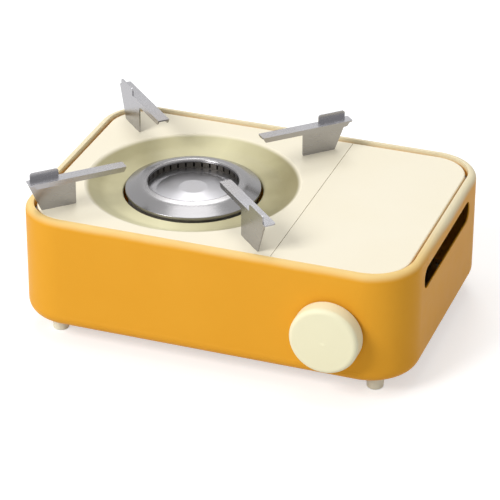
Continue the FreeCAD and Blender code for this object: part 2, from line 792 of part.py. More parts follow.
def make_burner():
    body = new_body("burner_body")
    radius, bore, gauge = dim("burner_radius"), dim("burner_bore"), dim("burner_wall")
    floor = dim("burner_floor")
    section = new_sketch(body, "XZ_Plane")
    add_profile(section, [
        (bore, floor, 2), (radius, floor, 3), (radius, dim("burner_wall_top")),
        (radius - gauge, dim("burner_wall_top")), (radius - gauge, floor + gauge, 1.5),
        (bore + gauge, floor + gauge, 1.5), (bore + gauge, dim("port_floor")),
        (bore - 2, dim("port_floor")), (bore - 2, dim("port_floor") - 2), (bore, dim("port_floor") - 2)])
    revolve(body, section)
    inlet = new_sketch(body, "YZ_Plane", radius + 2)
    add_circle(inlet, 0, dim("tube_height"), dim("tube_radius"))
    pocket(body, inlet, 7)
    place(body, bowl_across, bowl_deep, 0, Rotation(Vector(0, 0, 1), -45))

    body = new_body("flame_port_ring")
    section = new_sketch(body, "XZ_Plane")
    port_top = ring_top - 1.3
    add_profile(section, rectangle(bore, dim("port_floor"), bore + 1, port_top))
    revolve(body, section)
    port = new_sketch(body, "YZ_Plane", bore + 3)
    half_port = dim("port_width") / 2
    add_profile(port, rectangle(-half_port, dim("port_floor") + 2.2, half_port, port_top - 2.2,
                                half_port * 0.9))
    slot = pocket(body, port, 6)
    flat = new_sketch(body, "XY_Plane")
    polar(body, slot, flat, dim("port_count"))
    place(body, bowl_across, bowl_deep)

    body = new_body("burner_ring")
    section = new_sketch(body, "XZ_Plane")
    outside, inside, gauge = dim("ring_radius"), dim("ring_bore"), dim("ring_sheet")
    edge = ring_top - dim("ring_slope")
    crest = inside + 7
    add_profile(section, [
        (inside, ring_top - 2.5), (inside, ring_top, 1.6), (crest, ring_top - 0.9, 14),
        (outside, edge, 0.6), (outside, edge - 2), (outside - gauge, edge - 2),
        (outside - gauge, edge - gauge * 0.75, 0.4), (crest, ring_top - 0.9 - gauge * 1.05, 13),
        (inside + gauge, ring_top - gauge, 0.6), (inside + gauge, ring_top - 2.5)])
    revolve(body, section)
    place(body, bowl_across, bowl_deep)

    body = new_body("burner_dish")
    section = new_sketch(body, "XZ_Plane")
    outside = bore - 0.1
    low = dim("port_floor")
    rise = dim("dish_rise")
    add_profile(section, [
        (0, low + rise), (outside * 0.3, low + rise, 8), (outside * 0.8, low + 1, 6),
        (outside, low + 1.6), (outside, low), (outside * 0.8, low, 6),
        (outside * 0.3, low + rise - 0.9, 8), (0, low + rise - 0.9)])
    revolve(body, section)
    hole = new_sketch(body, "XY_Plane", low + 8)
    add_circle(hole, electrode_spot[0], electrode_spot[1], 2.7)
    pocket(body, hole, 12)
    place(body, bowl_across, bowl_deep)


electrode_spot = (as_size(8), as_size(-23))


def make_electrode():
    low = value("burner_floor") - 8
    top = ring_top.value - 5
    ceramic = turned([(0.8, low), (2.2, low), (2.5, low + 1), (2.5, value("port_floor") + 1.6),
                      (1.6, value("port_floor") + 3), (0.8, value("port_floor") + 3)])
    wire = turned([(0, low - 3), (0.8, low - 3), (0.8, top - 0.5), (0.4, top), (0, top)])
    across = bowl_across + electrode_spot[0]
    deep = bowl_deep + electrode_spot[1]
    place(scripted("electrode_ceramic", ceramic), across, deep)
    place(scripted("electrode_wire", wire), across, deep)
    body = new_body("electrode_bracket")
    strip = new_sketch(body, "XY_Plane", dim("burner_floor") - 2.4)
    add_profile(strip, rectangle(-5, -6, 5, 20, 2))
    add_circle(strip, 0, 0, 2.5)
    pad(body, strip, 1.2)
    place(body, across, deep)


stand_screw_shift = 39


def make_burner_stand():
    body = new_body("burner_stand")
    section = new_sketch(body, "XZ_Plane")
    gauge = 1.2
    half = 32
    top = dim("burner_floor")
    low = base_top
    add_profile(section, [
        (-half - 12, low), (-half, low, 1.5), (-half, top - gauge, 0.8), (half, top - gauge, 0.8),
        (half, low, 1.5), (half + 12, low), (half + 12, low + gauge), (half + gauge, low + gauge, 0.8),
        (half + gauge, top, 1.5), (-half - gauge, top, 1.5), (-half - gauge, low + gauge, 0.8),
        (-half - 12, low + gauge)])
    pad(body, section, 22, both_ways=True)
    screw_holes = new_sketch(body, "XY_Plane", low + 3)
    for side in (-1, 1):
        add_circle(screw_holes, side * stand_screw_shift, 0, dim("screw_radius"))
    pocket(body, screw_holes, 5)
    place(body, bowl_across, bowl_deep)
    screw = fastener(3, 1.6, value("screw_radius"), 2.8)
    upside_down = Rotation(Vector(1, 0, 0), 180)
    spots = []
    for side in (-1, 1):
        spot = Vector(bowl_across.value + side * stand_screw_shift, bowl_deep.value,
                      base_top.value + gauge + 1.6)
        spots.append(Placement(spot, upside_down))
    group("stand_screws", screw, spots)


def make_mixing_tube():
    turn = Rotation(Vector(0, 0, 1), -45).multiply(Rotation(Vector(0, 1, 0), 90))
    start = Rotation(Vector(0, 0, 1), -45).multVec(Vector(value("burner_radius") - 3, 0, 0))
    across = bowl_across + start.x
    deep = bowl_deep + start.y
    body = new_body("mixing_tube")
    section = new_sketch(body, "XZ_Plane")
    wide, narrow, length = dim("tube_radius"), dim("throat_radius"), dim("tube_length")
    gauge = 0.8
    add_profile(section, [
        (wide - gauge, 0), (wide, 0), (wide, length * 0.5, 4), (narrow, length * 0.75, 4),
        (narrow, length * 0.85, 3), (wide + 1, length), (wide + 1 - gauge, length),
        (narrow - gauge, length * 0.85, 3), (narrow - gauge, length * 0.75, 4),
        (wide - gauge, length * 0.5, 4)])
    revolve(body, section)
    place(body, across, deep, dim("tube_height"), turn)

    body = new_body("jet_carrier")
    disc = new_sketch(body, "XY_Plane", length)
    add_circle(disc, 0, 0, wide + 1.5)
    add_circle(disc, 0, 0, 3)
    pad(body, disc, 1.5)
    window = new_sketch(body, "XY_Plane", length)
    add_circle(window, 5.7, 0, 1.9)
    air_hole = pocket(body, window, 3, forward=True)
    polar(body, air_hole, disc, as_size(4))
    place(body, across, deep, dim("tube_height"), turn)

    body = new_body("gas_jet")
    section = new_sketch(body, "XZ_Plane")
    add_profile(section, [
        (0.4, length - 6), (1.2, length - 6), (3, length - 3), (3, length + 1.5), (5, length + 1.5),
        (5, length + 7), (2.5, length + 7), (2.5, length + 2), (0.4, length + 2)])
    revolve(body, section)
    place(body, across, deep, dim("tube_height"), turn)
    return start


def make_gas_pipe():
    out = Rotation(Vector(0, 0, 1), -45)
    reach = value("burner_radius") - 3 + value("tube_length")
    centre = Vector(bowl_across.value, bowl_deep.value, value("tube_height"))
    jet_end = centre + out.multVec(Vector(reach + 2, 0, 0))
    corner = centre + out.multVec(Vector(reach + 22, 0, 0))
    outlet = regulator_outlet()
    low_corner = Vector(corner.x + 2, outlet.y, outlet.z)
    tube = bent_tube(value("pipe_radius"), [outlet, low_corner, corner, jet_end], 7)
    bore = bent_tube(value("pipe_radius") - 0.8, [outlet, low_corner, corner, jet_end], 7)
    place(scripted("gas_pipe", tube.cut(bore)))


def regulator_outlet():
    deep = -half_depth.value + value("regulator_back") - 3.5
    return Vector(knob_across.value - value("regulator_radius") + 1, deep, knob_height.value - 11)


def make_regulator():
    back = dim("regulator_back")
    front = dim("regulator_front")
    radius = dim("regulator_radius")
    pot = cylinder(radius, back - front, 0, 0, -back)
    arm = block(radius + 5, 14.5, 9, -radius - 5, -20, -back)
    shaft_radius = dim("shaft_radius")
    bore = cylinder(shaft_radius + dim("running_gap"), 8, 0, 0, -front - 6)
    gas_way = cylinder(1.5, back, 0, 0, -back - 1)
    outlet = cylinder(dim("pipe_radius"), 8, -radius - 6, -11, -back + 3.5, Rotation(Vector(0, 1, 0), 90))
    whole = keep(cut(fuse(pot, arm), fuse(bore, gas_way, outlet)), "regulator_body")
    place(whole, knob_across, -half_depth, knob_height, facing_front)

    cap = cut(cylinder(radius - 1, 1.2, 0, 0, -front), cylinder(shaft_radius + 1, 4, 0, 0, -front - 1))
    place(keep(cap, "regulator_cap"), knob_across, -half_depth, knob_height, facing_front)

    magnet = cut(cylinder(dim("magnet_radius"), dim("magnet_length"), 0, 0, -back - dim("magnet_length")),
                 cylinder(dim("magnet_bore"), dim("magnet_length") + 2, 0, 0, -back - dim("magnet_length") - 1))
    place(keep(magnet, "coupling_magnet"), knob_across, -half_depth, knob_height, facing_front)

    nozzle = cut(fuse(cylinder(4, 6, 0, 0, -back - 6), cylinder(7, 1.5, 0, 0, -back - 1.5)),
                 cylinder(1.5, 10, 0, 0, -back - 8))
    place(keep(nozzle, "receiver_nozzle"), knob_across, -half_depth, knob_height, facing_front)

    body = new_body("receiver_seal")
    section = new_sketch(body, "XZ_Plane")
    add_circle(section, 5, -back - 4, 0.95)
    revolve(body, section)
    place(body, knob_across, -half_depth, knob_height, facing_front)


def make_regulator_bracket():
    body = new_body("regulator_bracket")
    plate = new_sketch(body, "XZ_Plane", half_depth - dim("regulator_back"))
    gauge = 1.0
    left, right = knob_across - 24, knob_across + 24
    add_profile(plate, rectangle(left, base_top, right, knob_height + 22, 1))
    add_circle(plate, knob_across, knob_height, dim("magnet_radius") + 0.5)
    feature = pad(body, plate, gauge)
    feature.Reversed = True
    settle(body, feature)
    flange = new_sketch(body, "XY_Plane", base_top)
    back = -half_depth + dim("regulator_back")
    add_profile(flange, rectangle(left, back, right, back + 12))
    pad(body, flange, gauge)
    place(body)


def make_knob():
    body = new_body("knob")
    section = new_sketch(body, "XZ_Plane")
    radius, reach, skin = dim("knob_radius"), dim("knob_reach"), dim("knob_skin")
    hub, shaft, gap = dim("hub_radius"), dim("shaft_radius"), dim("knob_gap")
    add_profile(section, [
        (0, reach - 4), (shaft, reach - 4), (shaft, gap), (hub, gap), (hub, reach - skin),
        (radius - skin, reach - skin, 1), (radius - skin, gap), (radius, gap, 0.6),
        (radius, reach - 0.4, 3.6), (0, reach)])
    revolve(body, section)
    place(body, knob_across, -half_depth, knob_height, facing_front)

    body = new_body("knob_shaft")
    section = new_sketch(body, "XZ_Plane")
    end = -dim("regulator_front") - 5
    add_profile(section, [(0, end), (shaft - 0.6, end), (shaft, end + 0.6), (shaft, reach - 4), (0, reach - 4)])
    revolve(body, section)
    place(body, knob_across, -half_depth, knob_height, facing_front)

    body = new_body("shaft_bushing")
    section = new_sketch(body, "XZ_Plane")
    bush = dim("bushing_radius")
    inside = shaft + dim("running_gap")
    add_profile(section, [(inside, -wall - 0.6), (bush + 2, -wall - 0.6), (bush + 2, -wall),
                          (bush, -wall), (bush, 0.4), (inside, 0.4)])
    revolve(body, section)
    place(body, knob_across, -half_depth, knob_height, facing_front)


def make_igniter():
    # The cam grows evenly over its working turn, so that the plunger moves evenly
    least, lift = value("cam_radius"), value("cam_lift")
    cam_low = Vector(0, 0, -wall.value - 1.2 - value("cam_width"))
    turn = math.radians(value("cam_turn"))
    spots = []
    steps = 10
    for step in range(steps + 1):
        share = step / steps
        angle = math.pi - turn * share
        spots.append(Vector(math.cos(angle), math.sin(angle), 0) * (least + lift * share) + cam_low)
    spiral = Part.BSplineCurve()
    spiral.interpolate(spots)
    drop = math.pi - turn - 0.35
    low_spot = Vector(math.cos(drop), math.sin(drop), 0) * least + cam_low
    under_spot = Vector(math.cos(-0.8), math.sin(-0.8), 0) * least + cam_low
    back_line = Part.LineSegment(spots[-1], low_spot)
    far_side = Part.Arc(low_spot, under_spot, spots[0])
    rim = Part.Wire([spiral.toShape(), back_line.toShape(), far_side.toShape()])
    cam = Part.Face(rim).extrude(Vector(0, 0, value("cam_width")))
    cam = cam.cut(Part.makeCylinder(value("shaft_radius"), 20, cam_low - Vector(0, 0, 5)))
    place(scripted("igniter_cam", cam), knob_across, -half_depth, knob_height, facing_front)

    axis_deep = -half_depth + wall + dim("igniter_radius") + 0.3
    left = knob_across - dim("cam_radius") - dim("igniter_length") - 10.3
    along = Rotation(Vector(0, 1, 0), 90)
    plunger = dim("plunger_radius")
    body = new_body("igniter_housing")
    section = new_sketch(body, "XZ_Plane")
    radius, length = dim("igniter_radius"), dim("igniter_length")
    slide = plunger + dim("running_gap")
    add_profile(section, [(0, 0), (radius, 0, 0.8), (radius, length, 0.8), (slide, length),
                          (slide, length - 12), (0, length - 12)])
    revolve(body, section)
    place(body, left, axis_deep, knob_height, along)

    body = new_body("igniter_plunger")
    section = new_sketch(body, "XZ_Plane")
    tip = length + 10
    add_profile(section, [(0, length - 6), (plunger, length - 6), (plunger, tip, 2), (0, tip)])
    revolve(body, section)
    place(body, left, axis_deep, knob_height, along)


def make_cartridge_cradle():
    radius = dim("can_radius") + dim("cradle_gap")
    gauge = dim("cradle_sheet")
    length = dim("cradle_length")
    along = Rotation(Vector(1, 0, 0), 90)
    start = length / 2
    outer = cylinder(radius + gauge, length, 0, start, 0, along)
    inner = cylinder(radius, length + 2, 0, start + 1, 0, along)
    trough = cut(outer, inner)
    upper = block(radius * 3, length + 4, radius * 3, -radius * 1.5, -start - 2, -radius * 0.76)
    low = cut(trough, upper)
    feet = []
    side = radius * 0.66
    height = knob_height - base_top
    for direction in (-1, 1):
        across = side if direction > 0 else -side - gauge
        feet.append(block(gauge, length, height - radius * 0.76, across, -start, -height))
        flange = side if direction > 0 else -side - 8
        feet.append(block(8, length, gauge, flange, -start, -height))
    whole = keep(fuse(low, *feet), "cartridge_cradle")
    place(whole, knob_across, 2, knob_height)


def make_igniter_lead():
    spot = Vector(knob_across.value - value("cam_radius") - value("igniter_length") - 10.3,
                  -half_depth.value + wall.value + value("igniter_radius") + 0.3, knob_height.value)
    end = Vector(bowl_across.value + electrode_spot[0].value,
                 bowl_deep.value + electrode_spot[1].value, value("burner_floor") - 11)
    points = [spot, spot + Vector(-34, 0, 0), end + Vector(22, -30, -22), end + Vector(0, 0, -26), end]
    tube = bent_tube(value("lead_radius"), points)
    place(scripted("igniter_lead", tube))


make_body_shell()
make_base_plate()
make_feet()
make_base_fasteners()
make_ledge_frame()
make_cover_hinge_pins()
make_top_plate()
make_cartridge_cover()
for support, (angle, side) in support_angles.items():
    make_pot_support(support, angle, side)
make_heat_shield()
make_burner()
make_electrode()
make_burner_stand()
make_mixing_tube()
make_gas_pipe()
make_regulator()
make_regulator_bracket()
make_knob()
make_igniter()
make_cartridge_cradle()
make_igniter_lead()
doc.recompute()

for item in doc.Objects:
    if "Invalid" in item.State or "Error" in item.State:
        raise RuntimeError("%s is %s" % (item.Label, item.State))

os.makedirs("parts", exist_ok=True)
for piece in sub_parts:
    if piece.Shape.isNull() or not piece.Shape.isValid():
        raise RuntimeError("%s has no valid shape" % piece.Label)
    piece.Shape.exportStep(os.path.join("parts", piece.Label + ".step"))
    box = piece.Shape.BoundBox
    print("%-26s solids %d volume %9.1f x %.1f..%.1f y %.1f..%.1f z %.1f..%.1f" % (
        piece.Label, len(piece.Shape.Solids), piece.Shape.Volume,
        box.XMin, box.XMax, box.YMin, box.YMax, box.ZMin, box.ZMax))
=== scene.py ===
import math

import bpy
from mathutils import Matrix, Vector

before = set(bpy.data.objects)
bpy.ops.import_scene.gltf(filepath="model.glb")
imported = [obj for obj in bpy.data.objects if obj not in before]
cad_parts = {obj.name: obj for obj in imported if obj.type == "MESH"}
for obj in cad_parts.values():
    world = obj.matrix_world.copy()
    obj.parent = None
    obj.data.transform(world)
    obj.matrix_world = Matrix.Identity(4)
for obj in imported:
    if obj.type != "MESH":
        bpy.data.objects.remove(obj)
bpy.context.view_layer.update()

print("frame loaded")


def addObject(name, data):
    thing = bpy.data.objects.new(name, data)
    bpy.context.scene.collection.objects.link(thing)
    return thing


# camera: looks down on the front right corner
cameraSettings = {
    "azimuth": 19.57,       # degrees to the right of the front
    "elevation": 28.57,
    "roll": 0.31,
    "distance": 1.8785,
    "lens": 183.45,
    "sensor": 36,
    "farthest": 20,
    "aimRight": -0.002486,  # where the view's middle lies, from the middle of the rim
    "aimUp": -0.0476,
    "rimMiddle": (0.0, 0.008, 0.1),
}


def makeCamera(s):
    az = math.radians(s["azimuth"])
    el = math.radians(s["elevation"])
    roll = math.radians(s["roll"])
    back = Vector((math.sin(az) * math.cos(el), -math.cos(az) * math.cos(el), math.sin(el)))
    right = Vector((math.cos(az), math.sin(az), 0))
    up = back.cross(right)
    place = Vector(s["rimMiddle"]) + right * s["aimRight"] + up * s["aimUp"] + back * s["distance"]
    rolledRight = right * math.cos(roll) + up * math.sin(roll)
    rolledUp = up * math.cos(roll) - right * math.sin(roll)
    data = bpy.data.cameras.new("camera")
    data.lens = s["lens"]
    data.sensor_width = s["sensor"]
    data.clip_end = s["farthest"]
    camera = addObject("camera", data)
    turn = Matrix((rolledRight, rolledUp, back)).transposed().to_4x4()
    camera.matrix_world = Matrix.Translation(place) @ turn
    bpy.context.scene.camera = camera


makeCamera(cameraSettings)
print("camera placed")


# shader helpers: where one takes a value, that is a constant or another node's output

def addNode(tree, kind, **settings):
    node = tree.nodes.new(kind)
    for name, setting in settings.items():
        setattr(node, name, setting)
    return node


def feed(tree, socket, value):
    if isinstance(value, bpy.types.NodeSocket):
        tree.links.new(value, socket)
    else:
        socket.default_value = value


def feedAll(tree, node, values):
    for label, value in values.items():
        feed(tree, node.inputs[label], value)


def calculate(tree, operation, *values, clamp=False):
    node = addNode(tree, "ShaderNodeMath", operation=operation, use_clamp=clamp)
    for socket, value in zip(node.inputs, values):
        feed(tree, socket, value)
    return node.outputs[0]


def calculateVector(tree, operation, *values):
    node = addNode(tree, "ShaderNodeVectorMath", operation=operation)
    for socket, value in zip(node.inputs, values):
        feed(tree, socket, value)
    return node.outputs


def remap(tree, value, low, high, smooth=False, fromLow=0.0, fromHigh=1.0):
    # fromLow where the value is at low, fromHigh where it is at high
    node = addNode(tree, "ShaderNodeMapRange", interpolation_type="SMOOTHSTEP" if smooth else "LINEAR")
    feedAll(tree, node, {
        "Value": value, "From Min": low, "From Max": high, "To Min": fromLow, "To Max": fromHigh,
    })
    return node.outputs["Result"]


def blend(tree, amount, first, second):
    node = addNode(tree, "ShaderNodeMix", data_type="RGBA")
    feedAll(tree, node, {"Factor": amount, "A": first, "B": second})
    return node.outputs["Result"]


def objectPlace(tree):
    return addNode(tree, "ShaderNodeTexCoord").outputs["Object"]


def splitAxes(tree, vector):
    node = addNode(tree, "ShaderNodeSeparateXYZ")
    feed(tree, node.inputs[0], vector)
    return node.outputs


def noiseAt(tree, place, scale, detail):
    node = addNode(tree, "ShaderNodeTexNoise")
    feedAll(tree, node, {"Vector": place, "Scale": scale, "Detail": detail})
    return node.outputs["Fac"]


def newGroup(name, inputs, outputs):
    group = bpy.data.node_groups.new(name, "ShaderNodeTree")
    for label, kind in inputs.items():
        group.interface.new_socket(label, in_out="INPUT", socket_type="NodeSocket" + kind)
    for label, kind in outputs.items():
        group.interface.new_socket(label, in_out="OUTPUT", socket_type="NodeSocket" + kind)
    start = addNode(group, "NodeGroupInput").outputs
    end = addNode(group, "NodeGroupOutput").inputs
    return group, start, end


# tint: slow colour variation with a few finer clouds in it
tintValues = {
    "broadScale": 14, "broadDetail": 4,
    "fineScale": 160, "fineDetail": 3,
    "low": 0.35, "high": 0.65,  # the stretch of the broad noise that is spread over the whole tint
    "fineShare": 0.3,
}


def makeTintGroup(v):
    inputs = {"Colour": "Color", "Deep Colour": "Color", "Variation": "Float"}
    group, start, end = newGroup("tint", inputs, {"Colour": "Color"})
    place = objectPlace(group)
    broad = noiseAt(group, place, v["broadScale"], v["broadDetail"])
    fine = noiseAt(group, place, v["fineScale"], v["fineDetail"])
    spread = remap(group, broad, v["low"], v["high"])
    cloud = calculate(group, "MULTIPLY_ADD", fine, v["fineShare"], spread, clamp=True)
    amount = calculate(group, "MULTIPLY", cloud, start["Variation"])
    feed(group, end["Colour"], blend(group, amount, start["Colour"], start["Deep Colour"]))
    return group


def unevenRoughness(tree, noise, start):
    # half of the noise lies above a half and half below, so the roughness stays round its own value
    noiseMiddle = 0.5
    centred = calculate(tree, "SUBTRACT", noise, noiseMiddle)
    return calculate(tree, "MULTIPLY_ADD", centred, start["Roughness Spread"], start["Roughness"])


# skin: the fine peel of a sprayed or moulded skin, with a roughness that varies more broadly
skinValues = {
    "fineScale": 900, "fineDetail": 2,
    "broadScale": 60, "broadDetail": 3,
}


def makeSkinGroup(v):
    inputs = {"Roughness": "Float", "Roughness Spread": "Float"}
    group, start, end = newGroup("skin", inputs, {"Height": "Float", "Roughness": "Float"})
    place = objectPlace(group)
    fine = noiseAt(group, place, v["fineScale"], v["fineDetail"])
    broad = noiseAt(group, place, v["broadScale"], v["broadDetail"])
    feed(group, end["Height"], fine)
    feed(group, end["Roughness"], unevenRoughness(group, broad, start))
    return group


# brush: rolling or turning marks, drawn out by the stretch
brushValues = {"scale": 1.0, "detail": 4.0}


def makeBrushGroup(v):
    inputs = {"Stretch": "Vector", "Roughness": "Float", "Roughness Spread": "Float"}
    group, start, end = newGroup("brush", inputs, {"Height": "Float", "Roughness": "Float"})
    stretched = calculateVector(group, "MULTIPLY", objectPlace(group), start["Stretch"])["Vector"]
    marks = noiseAt(group, stretched, v["scale"], v["detail"])
    feed(group, end["Height"], marks)
    feed(group, end["Roughness"], unevenRoughness(group, marks, start))
    return group


# heat tint: patches of straw that fade with the distance from the flame
heatValues = {"cloudScale": 90, "cloudDetail": 3}


def makeHeatGroup(v):
    inputs = {"Colour": "Color", "Straw": "Color", "Centre": "Vector", "Near": "Float", "Far": "Float",
              "Amount": "Float"}
    group, start, end = newGroup("heatTint", inputs, {"Colour": "Color"})
    place = objectPlace(group)
    away = calculateVector(group, "DISTANCE", place, start["Centre"])["Value"]
    fade = remap(group, away, start["Far"], start["Near"])
    cloud = noiseAt(group, place, v["cloudScale"], v["cloudDetail"])
    patchy = calculate(group, "MULTIPLY", fade, cloud)
    amount = calculate(group, "MULTIPLY", patchy, start["Amount"])
    feed(group, end["Colour"], blend(group, amount, start["Colour"], start["Straw"]))
    return group


# bowl tone: the enamel inside the well is khaki, with painted shade deepest at its two sides
bowlShadeValues = {
    "cloudScale": 45, "cloudDetail": 4, "cloudShare": 0.3,
    "sidewaysShade": 10.2,       # deeper painted shade for each metre to either side of the middle
    "shadeLean": (1.9, 2.1, 0),  # and for each metre to the right and to the back
}


def makeBowlShadeGroup(v):
    inputs = {"Colour": "Color", "Toned Colour": "Color", "Deep Colour": "Color", "Middle": "Vector",
              "Rim Reach": "Float", "Edge Width": "Float"}
    group, start, end = newGroup("bowlToneAndShade", inputs, {"Colour": "Color"})
    place = objectPlace(group)
    apart = calculateVector(group, "SUBTRACT", place, start["Middle"])["Vector"]
    flat = calculateVector(group, "MULTIPLY", apart, (1, 1, 0))["Vector"]
    reach = calculateVector(group, "LENGTH", flat)["Value"]
    inner = calculate(group, "SUBTRACT", start["Rim Reach"], start["Edge Width"])
    mask = remap(group, reach, start["Rim Reach"], inner, smooth=True)
    cloud = noiseAt(group, place, v["cloudScale"], v["cloudDetail"])
    # painted shade: deeper at the sides of the well and towards the right and back
    shadeLean = calculateVector(group, "DOT_PRODUCT", flat, v["shadeLean"])["Value"]
    aside = calculate(group, "ABSOLUTE", splitAxes(group, flat)["X"])
    sideShade = calculate(group, "MULTIPLY_ADD", aside, v["sidewaysShade"], shadeLean)
    shadeDepth = calculate(group, "MULTIPLY_ADD", cloud, v["cloudShare"], sideShade, clamp=True)
    toned = blend(group, shadeDepth, start["Toned Colour"], start["Deep Colour"])
    feed(group, end["Colour"], blend(group, mask, start["Colour"], toned))
    return group


# rim highlight: painted highlight that pales the colour above a height, with a slightly uneven front.
# The painted highlight begins lower and is paler on the rim's far stretches, towards the back
rimHighlightValues = {
    "cloudScale": 30, "cloudDetail": 3,
    "waver": 0.002,         # how far the front wanders up and down
    "farHighlightDrop": 0.0016,   # how much lower the painted highlight begins on the far stretches
}


def makeRimHighlightGroup(v):
    inputs = {"Colour": "Color", "Highlight Colour": "Color", "Far Highlight Colour": "Color", "Highlight Front To": "Float",
              "Highlight Far From": "Float", "Low": "Float", "High": "Float", "Amount": "Float"}
    group, start, end = newGroup("rimHighlight", inputs, {"Colour": "Color"})
    place = objectPlace(group)
    axes = splitAxes(group, place)
    cloud = noiseAt(group, place, v["cloudScale"], v["cloudDetail"])
    waver = calculate(group, "MULTIPLY_ADD", cloud, v["waver"], axes["Z"])
    # painted highlight: paler and lower towards the back of the rim
    farShare = remap(group, axes["Y"], start["Highlight Front To"], start["Highlight Far From"], smooth=True)
    height = calculate(group, "MULTIPLY_ADD", farShare, v["farHighlightDrop"], waver)
    highlightTone = blend(group, farShare, start["Highlight Colour"], start["Far Highlight Colour"])
    mask = remap(group, height, start["Low"], start["High"], smooth=True)
    amount = calculate(group, "MULTIPLY", mask, start["Amount"])
    feed(group, end["Colour"], blend(group, amount, start["Colour"], highlightTone))
    return group


tintGroup = makeTintGroup(tintValues)
skinGroup = makeSkinGroup(skinValues)
brushGroup = makeBrushGroup(brushValues)
heatGroup = makeHeatGroup(heatValues)
bowlShadeGroup = makeBowlShadeGroup(bowlShadeValues)
rimHighlightGroup = makeRimHighlightGroup(rimHighlightValues)
print("shader groups built")


burnerMiddle = (-0.0457, 0.0028, 0.09)


def opaque(colour):
    return (*colour, 1)


def newMaterial(name):
    material = bpy.data.materials.new(name)
    material.use_nodes = True
    tree = material.node_tree
    return material, tree, tree.nodes["Principled BSDF"]


def placeGroup(tree, group, values):
    node = addNode(tree, "ShaderNodeGroup", node_tree=group)
    feedAll(tree, node, values)
    return node.outputs


def addBump(tree, shader, height, distance):
    bump = addNode(tree, "ShaderNodeBump")
    feedAll(tree, bump, {"Strength": 1.0, "Distance": distance, "Height": height})
    feed(tree, shader.inputs["Normal"], bump.outputs["Normal"])


def dress(finishes, makeMaterial):
    for finishName, finish in finishes.items():
        material = makeMaterial(finishName, finish)
        for nodeName in finish["nodes"]:
            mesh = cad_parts[nodeName].data
            mesh.materials.clear()
            mesh.materials.append(material)


# enamel, plastic, rubber and ceramic
paintSettings = {"variation": 0.5, "roughnessSpread": 0.14}
cream = {
    "colour": (0.91, 0.845, 0.68), "deep": (0.89, 0.815, 0.63),
    "roughness": 0.42, "specular": 0.18, "bump": 0.00001,
}
paints = {
    "orangeEnamel": {
        "nodes": ["body_shell"],
        "colour": (0.86, 0.41, 0.036), "deep": (0.82, 0.375, 0.028),
        "roughness": 0.4, "specular": 0.05, "bump": 0.00001,
        # painted highlight on the rounded top of the rim, paler towards the back
        "thin": (0.88, 0.65, 0.28), "highlightTone": (0.86, 0.8, 0.58), "thinned": 0.9,
        "thinFrom": 0.0962, "thinTo": 0.1013,  # heights on the rim
        "highlightFrontTo": -0.08, "highlightFarFrom": 0.02,  # places from the front to the back
    },
    "creamEnamel": {**cream, "nodes": ["cartridge_cover"]},
    "plateEnamel": {
        **cream, "nodes": ["top_plate"],
        # khaki inside the well; tonedDeep is the painted shade on its sides
        "toned": (0.83, 0.78, 0.5), "tonedDeep": (0.3, 0.26, 0.13),
        "rimReach": 0.0807, "edgeWidth": 0.004,
    },
    "knobPlastic": {
        "nodes": ["knob"],
        "colour": (0.93, 0.89, 0.63), "deep": (0.91, 0.86, 0.59),
        "roughness": 0.45, "specular": 0.2, "bump": 0.00002,
    },
    "footRubber": {
        "nodes": ["foot_front_left", "foot_front_right", "foot_back_left", "foot_back_right"],
        "colour": (0.95, 0.92, 0.76), "deep": (0.91, 0.87, 0.69),
        "roughness": 0.7, "specular": 0.4, "bump": 0.00004,
    },
    "darkPlastic": {
        "nodes": ["igniter_housing", "igniter_plunger", "igniter_cam", "shaft_bushing"],
        "colour": (0.03, 0.03, 0.03), "deep": (0.02, 0.02, 0.02),
        "roughness": 0.5, "specular": 0.4, "bump": 0.00003,
    },
    "sealRubber": {
        "nodes": ["receiver_seal"],
        "colour": (0.02, 0.02, 0.02), "deep": (0.015, 0.015, 0.015),
        "roughness": 0.65, "specular": 0.4, "bump": 0.00003,
    },
    "ferrite": {
        "nodes": ["coupling_magnet"],
        "colour": (0.045, 0.045, 0.05), "deep": (0.03, 0.03, 0.033),
        "roughness": 0.55, "specular": 0.4, "bump": 0.00004,
    },
    "glazedCeramic": {
        "nodes": ["electrode_ceramic"],
        "colour": (0.86, 0.84, 0.78), "deep": (0.8, 0.77, 0.7),
        "roughness": 0.2, "specular": 0.4, "bump": 0.00001,
        "coat": 0.5, "coatRoughness": 0.12,
    },
    "leadCover": {
        "nodes": ["igniter_lead"],
        "colour": (0.45, 0.03, 0.02), "deep": (0.36, 0.025, 0.018),
        "roughness": 0.5, "specular": 0.4, "bump": 0.00002,
    },
}


def makePaint(name, f):
    material, tree, shader = newMaterial(name)
    colour = placeGroup(tree, tintGroup, {
        "Colour": opaque(f["colour"]), "Deep Colour": opaque(f["deep"]),
        "Variation": paintSettings["variation"],
    })["Colour"]
    # painted highlight on the rim's top
    if "thin" in f:
        colour = placeGroup(tree, rimHighlightGroup, {
            "Colour": colour, "Highlight Colour": opaque(f["thin"]), "Far Highlight Colour": opaque(f["highlightTone"]),
            "Highlight Front To": f["highlightFrontTo"], "Highlight Far From": f["highlightFarFrom"],
            "Low": f["thinFrom"], "High": f["thinTo"], "Amount": f["thinned"],
        })["Colour"]
    # khaki inside the well, with painted shade deepest at its two sides
    if "toned" in f:
        colour = placeGroup(tree, bowlShadeGroup, {
            "Colour": colour, "Toned Colour": opaque(f["toned"]), "Deep Colour": opaque(f["tonedDeep"]),
            "Middle": burnerMiddle, "Rim Reach": f["rimReach"], "Edge Width": f["edgeWidth"],
        })["Colour"]
    skin = placeGroup(tree, skinGroup, {
        "Roughness": f["roughness"], "Roughness Spread": paintSettings["roughnessSpread"],
    })
    feedAll(tree, shader, {
        "Base Color": colour, "Roughness": skin["Roughness"], "Specular IOR Level": f["specular"],
    })
    if "coat" in f:
        feedAll(tree, shader, {"Coat Weight": f["coat"], "Coat Roughness": f["coatRoughness"]})
    addBump(tree, shader, skin["Height"], f["bump"])
    return material


dress(paints, makePaint)


